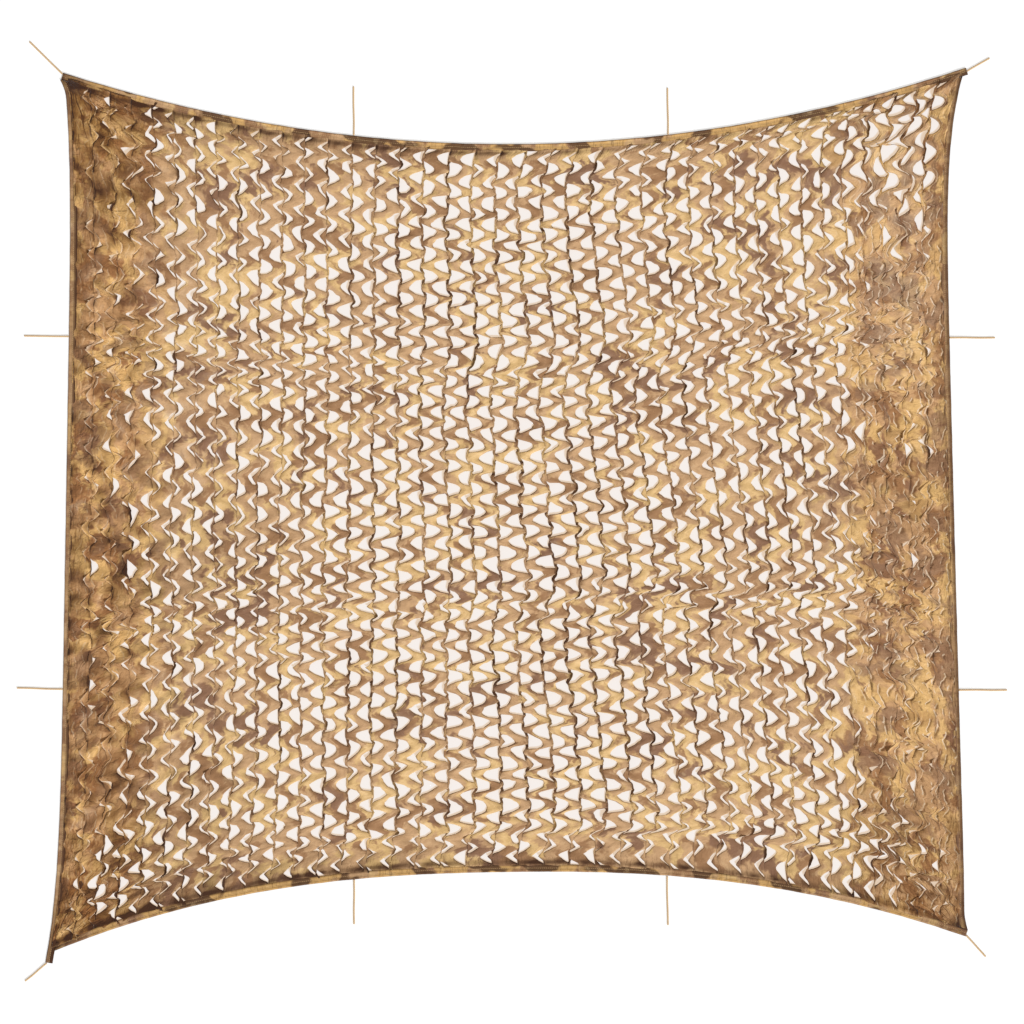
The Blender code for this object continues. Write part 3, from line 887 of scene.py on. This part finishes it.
def cloth_material(name, darken, stretch=(1.0, 1.0, 1.0), dull=0.0, patchy=0.0, gathered=0.0,
                   crumple=0.012):
    """Printed cloth.

    darken is how much the shade of its points darkens it, stretch draws the print out, dull mixes
    in a grey brown, patchy adds strong patches across a binding, gathered adds small folds with
    painted shade in them, crumple is the depth of its creases.
    """
    material, tree, shader = new_material(name)
    g = Graph(tree)
    uv = g.node("ShaderNodeUVMap", uv_map="print").outputs["UV"]
    base = camouflage(g, stretched(g, uv, stretch))
    base = g.blend(dull, base, colour(116, 88, 68))
    across_it = stretched(g, uv, (8.0, 9.0, 1.0))
    for seed, low, patch in ((8.0, 0.49, colour(212, 168, 104)), (3.0, 0.51, colour(88, 62, 42))):
        where = g.step(g.noise(across_it, 1.0, 2.0, 0.5, seed=seed), low, low + 0.04)
        base = g.over(base, where, patchy, patch)
    mottle = g.noise(uv, 32.0, 4.0, 0.6, seed=2.0)  # darker and paler spots at random
    base = g.over(base, g.step(mottle, 0.40, 0.75), 0.36, colour(132, 96, 60))
    base = g.over(base, g.step(mottle, 0.46, 0.28), 0.30, colour(240, 208, 158))
    tone = g.mark("tone")
    base = g.blend(tone, base, SIDE_TINT, "MULTIPLY")
    gather = g.math("MAXIMUM", g.mark("gather"), gathered)

    # pleats that fan out from the net's corners
    split = g.node("ShaderNodeSeparateXYZ")
    g.link(uv, split.inputs[0])
    across, along = split.outputs["X"], split.outputs["Y"]
    corner = g.mark("corner")
    from_side = g.math("MINIMUM", across, g.math("SUBTRACT", COLUMNS * FLAT_COLUMN, across))
    from_end = g.math("MINIMUM", along, g.math("SUBTRACT", ROWS * FLAT_ROW, along))
    fan = g.node("ShaderNodeCombineXYZ")
    g.link(g.times(g.math("ARCTAN2", from_end, from_side), 13.0), fan.inputs[0])
    g.link(g.times(g.math("ADD", from_side, from_end), 9.0), fan.inputs[1])
    pleats = g.noise(fan.outputs[0], 1.0, 3.0, 0.6, 0.5, seed=5.0)

    # patches of the print, and chains of small hollows in the slack bands, with painted shade in
    # the hollows and painted light on their ridges
    slack = g.mark("slack")
    patches = g.noise(uv, 9.0, 3.0, 0.55, 0.4, seed=14.0)
    loose = g.math("POWER", slack, 0.12)
    base = g.over(base, g.step(patches, 0.47, 0.40), g.times(loose, 0.5), colour(230, 184, 114))
    base = g.over(base, g.step(patches, 0.53, 0.58), g.times(loose, 0.65), colour(148, 115, 92))
    zigzag = g.math("PINGPONG", g.math("DIVIDE", along, FLAT_ROW), 0.5)
    chains = g.math("MULTIPLY_ADD", zigzag, 1.3, g.times(across, 2.6 / FLAT_COLUMN))
    chains = g.math("FRACT", g.math("MULTIPLY_ADD", g.noise(uv, 16.0, 2.0, seed=5.0), 1.6, chains))
    broken = g.times(g.step(g.noise(uv, 34.0, 2.0, seed=12.0), 0.46, 0.56), slack)
    hollow = g.times(g.step(chains, 0.12, 0.2), g.step(chains, 0.5, 0.24))
    base = g.over(base, g.times(hollow, broken), 0.6, colour(88, 58, 34))
    ridge = g.step(chains, 0.17, 0.08)
    base = g.over(base, g.times(ridge, broken), 0.65, colour(244, 220, 184))
    # painted light on the pleats' ridges and painted shade in their hollows, towards the corners
    base = g.over(base, g.step(pleats, 0.48, 0.36), g.times(corner, 0.55), colour(216, 166, 98))
    base = g.over(base, g.step(pleats, 0.52, 0.62), g.times(corner, 0.95), colour(72, 44, 22))
    # painted shade in the small folds where the cloth is gathered
    small_folds = g.noise(stretched(g, uv, (150.0, 24.0, 1.0)), 1.0, 3.0, 0.6, 0.8, seed=6.0)
    base = g.over(base, g.step(small_folds, 0.50, 0.68), g.times(gather, 0.55), colour(84, 54, 30))

    # painted shade, and painted light where the shade mark is below 0; what is dark is tinted
    # warmer and what is light paler
    shade = g.mark("shade")
    base = g.over(base, shade, darken, colour(68, 40, 20), clamp=True)
    base = g.over(base, shade, -0.5, colour(240, 216, 184), clamp=True)
    light = g.node("ShaderNodeRGBToBW")
    g.link(base, light.inputs[0])
    warmth = g.math("MULTIPLY_ADD", corner, 0.55, g.math("MULTIPLY_ADD", tone, 0.35, 0.2))
    base = g.over(base, g.step(light.outputs[0], 0.34, 0.08), warmth, WARM_DARK, "MULTIPLY", True)
    base = g.blend(g.step(light.outputs[0], 0.40, 0.75), base, PALE_LIGHT, "MULTIPLY")

    # thread of the sewn line
    stitch = g.mark("stitch")
    dash = g.math("SINE", g.times(across, 2.0 * math.pi / STITCH))
    thread = g.times(g.step(dash, -0.5, -0.2), g.step(stitch, 0.45, 0.6))
    base = g.blend(thread, base, colour(198, 164, 116))
    g.link(base, shader.inputs["Base Color"])
    set_inputs(shader, {"Roughness": 0.85, "Specular IOR Level": 0.25, "Sheen Weight": 0.15,
                        "Sheen Roughness": 0.5})

    # creases, and the weave on top of them
    creases = g.noise(uv, 30.0, 3.0, 0.55, 0.6, seed=7.0)
    crumples = g.math("ABSOLUTE", g.math("SUBTRACT", creases, 0.5))
    crumples = g.times(crumples, g.math("MULTIPLY_ADD", tone, 1.3, 0.5))
    crumples = g.math("SUBTRACT", crumples, g.times(small_folds, g.times(gather, 0.5)))
    crumples = g.math("SUBTRACT", crumples, g.times(pleats, corner))
    crumples = g.math("SUBTRACT", crumples, g.times(g.times(hollow, broken), 0.15))
    crease = g.bump(crumples, strength=0.8, distance=crumple)
    yarn = 2.0 * math.pi / YARN
    over = g.math("SINE", g.times(across, yarn))
    under = g.math("SINE", g.times(along, yarn))
    weave = g.bump(g.times(over, under), strength=0.25, distance=0.0003)
    g.link(crease.outputs["Normal"], weave.inputs["Normal"])
    g.link(weave.outputs["Normal"], shader.inputs["Normal"])
    return material


def rope_material():
    material, tree, shader = new_material("rope_fibre")
    g = Graph(tree)
    where = g.node("ShaderNodeTexCoord").outputs["Object"]
    streak = g.noise(where, 900.0, 2.0, 0.6, seed=3.0)
    base = g.blend(g.step(streak, 0.35, 0.7), colour(206, 172, 128), colour(230, 202, 160))
    base = g.over(base, g.mark("shade"), 0.35, colour(150, 112, 72))  # between its strands
    g.link(base, shader.inputs["Base Color"])
    set_inputs(shader, {"Roughness": 0.8, "Specular IOR Level": 0.25})
    return material


# -------- bindings

def binding_section():
    """Cross-section of a folded binding: distance from its outer edge, height."""
    radius = ROLL / 2.0
    points = []
    for degrees in range(270, 29, -20):
        angle = math.radians(degrees)
        points.append((radius + radius * math.cos(angle), radius + radius * math.sin(angle)))
    top = SLOT_TOP + LAYER
    wide, sewn = BINDING_WIDTH, FOLD_LINE
    return points + [
        (0.0100, top + 0.0028), (sewn - 0.0010, top + 0.0022), (sewn, top + 0.0017),
        (sewn + 0.0012, top + 0.0021), (0.0165, top + 0.0022), (0.0200, top + 0.0016),
        (wide - 0.0016, top + 0.0008), (wide, top - 0.0004), (wide, SLOT_TOP + 0.0002),
        (wide - 0.0006, SLOT_TOP), (SLOT_FLOOR, SLOT_TOP), (SLOT_FLOOR, LAYER),
        (wide - 0.0006, LAYER), (wide, LAYER - 0.0004), (wide, 0.0003), (0.0180, 0.0),
        (0.0110, 0.0)]


def binding_line(side, stations):
    """Points along the outer edge of a binding."""
    start_run, end_run, start_flare = BINDING_ENDS[side]
    length = (Vector(CORNERS[SIDES[side][1]]) - Vector(CORNERS[SIDES[side][0]])).length
    first = -(start_run if start_run is not None else BINDING_WIDTH) / length
    last = 1.0 + (end_run if end_run is not None else BINDING_WIDTH) / length
    points = []
    for station in range(stations + 1):
        t = first + (last - first) * station / stations
        flare = start_flare * max(0.0, 1.0 - t * length / FLARE_REACH) ** 2
        points.append(inset_point(side, t, -flare))
    return points


def cut_square_to(bm, neighbour, t):
    """Cut the binding off where it meets the inner edge of its neighbour, and close the cut."""
    direction = edge_direction(neighbour, CORNERS, t)
    spot = inset_point(neighbour, t, BINDING_WIDTH + BUTT_GAP)
    outward = -turn_left(direction)
    cut = bmesh.ops.bisect_plane(
        bm, geom=bm.verts[:] + bm.edges[:] + bm.faces[:], dist=1e-6, plane_co=(*spot, 0.0),
        plane_no=(*outward, 0.0), clear_outer=True)
    rim = [piece for piece in cut["geom_cut"] if isinstance(piece, bmesh.types.BMEdge)]
    bmesh.ops.edgeloop_fill(bm, edges=rim)


def nearest(spot, corners):
    return min((spot - Vector(CORNERS[corner])).length for corner in corners)


def make_binding(side, material):
    line = binding_line(side, BINDING_STATIONS)
    section = binding_section()
    around = [0.0]
    for a, b in zip(section, section[1:] + section[:1]):
        around.append(around[-1] + math.hypot(b[0] - a[0], b[1] - a[1]))
    bm = bmesh.new()
    uv = bm.loops.layers.uv.new("print")
    shade = bm.verts.layers.float.new("shade")
    stitch = bm.verts.layers.float.new("stitch")
    rings, runs = [], []
    along = 0.0
    for k, spot in enumerate(line):
        ahead = line[min(k + 1, len(line) - 1)] - line[max(k - 1, 0)]
        inward = turn_left(ahead.normalized())
        if k:
            along += (spot - line[k - 1]).length
        runs.append(along)
        dark_end = (0.9 * bell(nearest(spot, ("top_left", "bottom_left")), 0.0, 0.14)
                    + 0.5 * bell(nearest(spot, ("top_right", "bottom_right")), 0.0, 0.12))
        ring = []
        for across, up in section:
            pucker = noise.noise((along * 60.0, across * 90.0, len(side) * 3.0))
            ripple = noise.noise((along * 18.0, 1.0, len(side) * 5.0))
            move = inward * (across + 0.0008 * ripple + 0.0004 * pucker)
            rise = up + (0.0007 * pucker + 0.0004 * ripple) * smooth(up, 0.002, 0.005)
            point = bm.verts.new((spot.x + move.x, spot.y + move.y, max(rise, 0.0)))
            stripe = {"left": smooth(across, 0.012, 0.016), "right": bell(across, 0.004, 0.005)}
            # painted shade in the groove of the sewn line, along both edges and in the puckers;
            # the side bindings' stripe and the ends near the corners are darker too
            point[shade] = (0.4 * bell(across, FOLD_LINE, 0.0014)
                            + bell(across, BINDING_WIDTH, 0.0040)
                            + 0.6 * bell(across, 0.0, 0.0025) + 0.4 * max(0.0, pucker)
                            + 0.9 * stripe.get(side, 0.0) + dark_end)
            point[stitch] = float(across == FOLD_LINE)
            ring.append(point)
        rings.append(ring)
    for k, (a, b) in enumerate(zip(rings, rings[1:])):
        for i in range(len(section)):
            j = (i + 1) % len(section)
            face = bm.faces.new((a[i], a[j], b[j], b[i]))
            face.smooth = True
            spots = ((k, i), (k, i + 1), (k + 1, i + 1), (k + 1, i))
            for loop, (step, turn) in zip(face.loops, spots):
                loop[uv].uv = (runs[step], around[turn])
    bm.faces.new(rings[0])
    bm.faces.new(rings[-1])
    names = list(SIDES)
    at = names.index(side)
    start_run, end_run, _ = BINDING_ENDS[side]
    if start_run is None:
        cut_square_to(bm, names[at - 1], 1.0)
    if end_run is None:
        cut_square_to(bm, names[(at + 1) % len(names)], 0.0)
    bmesh.ops.recalc_face_normals(bm, faces=bm.faces)
    mesh = bpy.data.meshes.new("hem_" + side)
    bm.to_mesh(mesh)
    bm.free()
    return new_object("hem_" + side, mesh, material)


# -------- tie ropes

def smooth_route(points, step):
    """Points about one step apart on a smooth curve through the given ones."""
    ends = [points[0] * 2.0 - points[1]] + points + [points[-1] * 2.0 - points[-2]]
    route = []
    for before, a, b, after in zip(ends, ends[1:], ends[2:], ends[3:]):
        pieces = max(1, round((b - a).length / step))
        for k in range(pieces):
            s = k / pieces
            route.append(0.5 * ((2.0 * a) + (b - before) * s
                                + (2.0 * before - 5.0 * a + 4.0 * b - after) * s ** 2
                                + (3.0 * a - before - 3.0 * b + after) * s ** 3))
    route.append(points[-1])
    return route


def make_tie(name, spots, material):
    heights = [ROPE_EXIT] + [ROPE_LIE] * (len(spots) - 1)
    points = [Vector((x, y, z)) for (x, y), z in zip(spots, heights)]
    route = smooth_route(points, ROPE_STEP)
    total = sum((b - a).length for a, b in zip(route, route[1:]))
    verts, faces, shades = [], [], []
    run = 0.0
    for k, spot in enumerate(route):
        ahead = (route[min(k + 1, len(route) - 1)] - route[max(k - 1, 0)]).normalized()
        across = ahead.cross(Vector((0.0, 0.0, 1.0))).normalized()
        up = across.cross(ahead)
        if k:
            run += (spot - route[k - 1]).length
        tip = min(1.0, 0.45 + (total - run) / ROPE_TIP)
        for i in range(ROPE_SIDES):
            angle = 2.0 * math.pi * i / ROPE_SIDES
            lobe = math.cos(ROPE_STRANDS * (angle - 2.0 * math.pi * run / ROPE_PITCH))
            radius = tip * ROPE / 2.0 * (0.98 + 0.08 * lobe)
            verts.append(spot + (across * math.cos(angle) + up * math.sin(angle)) * radius)
            shades.append(0.5 - 0.5 * lobe)
    last = (len(route) - 1) * ROPE_SIDES
    for a in range(0, last, ROPE_SIDES):
        b = a + ROPE_SIDES
        for i in range(ROPE_SIDES):
            j = (i + 1) % ROPE_SIDES
            faces.append((a + i, b + i, b + j, a + j))
    faces.append(tuple(range(ROPE_SIDES)))
    faces.append(tuple(last + i for i in reversed(range(ROPE_SIDES))))
    mesh = bpy.data.meshes.new("rope_" + name)
    mesh.from_pydata([tuple(v) for v in verts], [], faces)
    mesh.polygons.foreach_set("use_smooth", [len(p.vertices) == 4 for p in mesh.polygons])
    mesh.attributes.new("shade", "FLOAT", "POINT").data.foreach_set("value", shades)
    rope = new_object("rope_" + name, mesh, material)
    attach(rope, "root")
    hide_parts(name)


# -------- the whole

make_camera()
make_lights()
net_pull = Pull()
make_floor(net_pull.outline)

rope_finish = rope_material()
for tie_name, tie_spots in TIES.items():
    make_tie(tie_name, tie_spots, rope_finish)

long_hem_finish = cloth_material("binding_print", darken=0.65, stretch=(1.0, 0.35, 1.0), dull=0.15,
                                 patchy=0.95, gathered=0.8, crumple=0.003)
side_hem_finish = cloth_material("side_binding_print", darken=0.65, stretch=(1.0, 0.35, 1.0),
                                 dull=0.45, patchy=0.2, gathered=0.5, crumple=0.003)
hems = {side: make_binding(side, side_hem_finish if side in ("left", "right") else long_hem_finish)
        for side in SIDES}
for side, hem in hems.items():
    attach(hem, "root")
    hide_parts("binding_" + side)

net_finish = cloth_material("net_print", darken=0.8)
net_cut = Cut()
for net_name, (first, last, bound) in NET_PIECES.items():
    net = make_net(net_name, first, last, net_pull, net_cut, net_finish)
    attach(net, "root")
    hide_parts("net_sheet")
